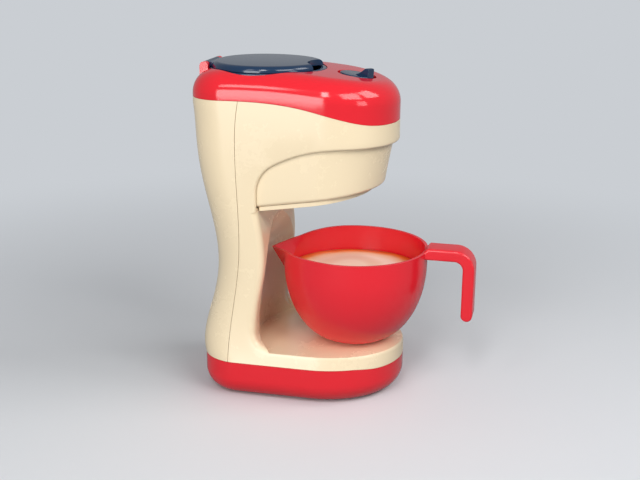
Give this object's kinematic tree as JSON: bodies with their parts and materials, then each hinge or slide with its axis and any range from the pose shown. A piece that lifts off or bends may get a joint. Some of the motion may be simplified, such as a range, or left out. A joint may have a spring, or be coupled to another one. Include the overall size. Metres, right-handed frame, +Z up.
{
  "type": "toy coffee maker",
  "caption": "Toy drip coffee maker with a moulded housing, hinged tank lid, turning knob, light and sound works, and a lift-out jug with a coffee insert.",
  "frame": {"origin": "middle of the flat rest face under the base", "axes": "+Z up, the front with the jug's handle faces -Y, +X to the right seen from the front"},
  "size_m": [0.11, 0.2072, 0.246],
  "materials": {
    "cream_plastic": "moulded, satin gloss",
    "red_plastic": "moulded, high gloss",
    "navy_plastic": "moulded, high gloss",
    "jug_plastic": "moulded, satin gloss",
    "coffee_print": "printed coffee surface",
    "clear_lens": "clear moulded",
    "lamp_amber": "clear amber",
    "screw_steel": "zinc plated",
    "contact_metal": "nickel plated",
    "cell_can": "printed can",
    "board_green": "solder mask",
    "speaker_black": "moulded",
    "wire_red": "insulated wire",
    "wire_black": "insulated wire"
  },
  "bodies": {
    "machine": {"base_shell": "red_plastic", "battery_box": "cream_plastic", "battery_1": "cell_can", "battery_2": "cell_can", "battery_contacts": "contact_metal", "speaker": "speaker_black", "front_housing": "cream_plastic", "rear_cover": "cream_plastic", "circuit_board": "board_green", "basket_housing": "cream_plastic", "basket_plate": "cream_plastic", "outlet_lens": "clear_lens", "lamp": "lamp_amber", "lamp_board": "board_green", "top_cover": "red_plastic", "water_tank": "navy_plastic", "lid_hinge_pin": "screw_steel", "rotary_switch": "speaker_black", "base_screws": "screw_steel", "rear_screws": "screw_steel", "top_cover_screws": "screw_steel", "tank_screws": "screw_steel", "basket_screws": "screw_steel", "board_screws": "screw_steel", "switch_screws": "screw_steel", "battery_wire": "wire_red", "speaker_wire": "wire_black", "switch_wire": "wire_red", "lamp_wire": "wire_black"},
    "lid": {"lid": "navy_plastic"},
    "knob": {"knob": "navy_plastic", "switch_shaft": "cream_plastic"},
    "battery_door": {"battery_door": "red_plastic", "battery_door_screws": "screw_steel"},
    "jug": {"jug": "jug_plastic"},
    "coffee_insert": {"coffee_insert": "coffee_print"}
  },
  "joints": [
    {"name": "lid_hinge", "type": "hinge", "parent": "machine", "child": "lid", "pos_m": [0, 0.0752, 0.2421], "axis": [-1, 0, 0], "range_deg": [0, 105]},
    {"name": "knob_turn", "type": "hinge", "parent": "machine", "child": "knob", "pos_m": [0, -0.0345, 0.23823], "axis": [0, -0.1406, 0.9901], "range_deg": [-23, 67]},
    {"name": "battery_door_off", "type": "slide", "parent": "machine", "child": "battery_door", "axis": [0, 0, -1], "range_m": [0, 0.03]},
    {"name": "jug_out", "type": "slide", "parent": "machine", "child": "jug", "axis": [0, -0.9563, 0.2924], "range_m": [0, 0.11]},
    {"name": "coffee_lift", "type": "slide", "parent": "jug", "child": "coffee_insert", "axis": [0, 0, 1], "range_m": [0, 0.05]}
  ]
}
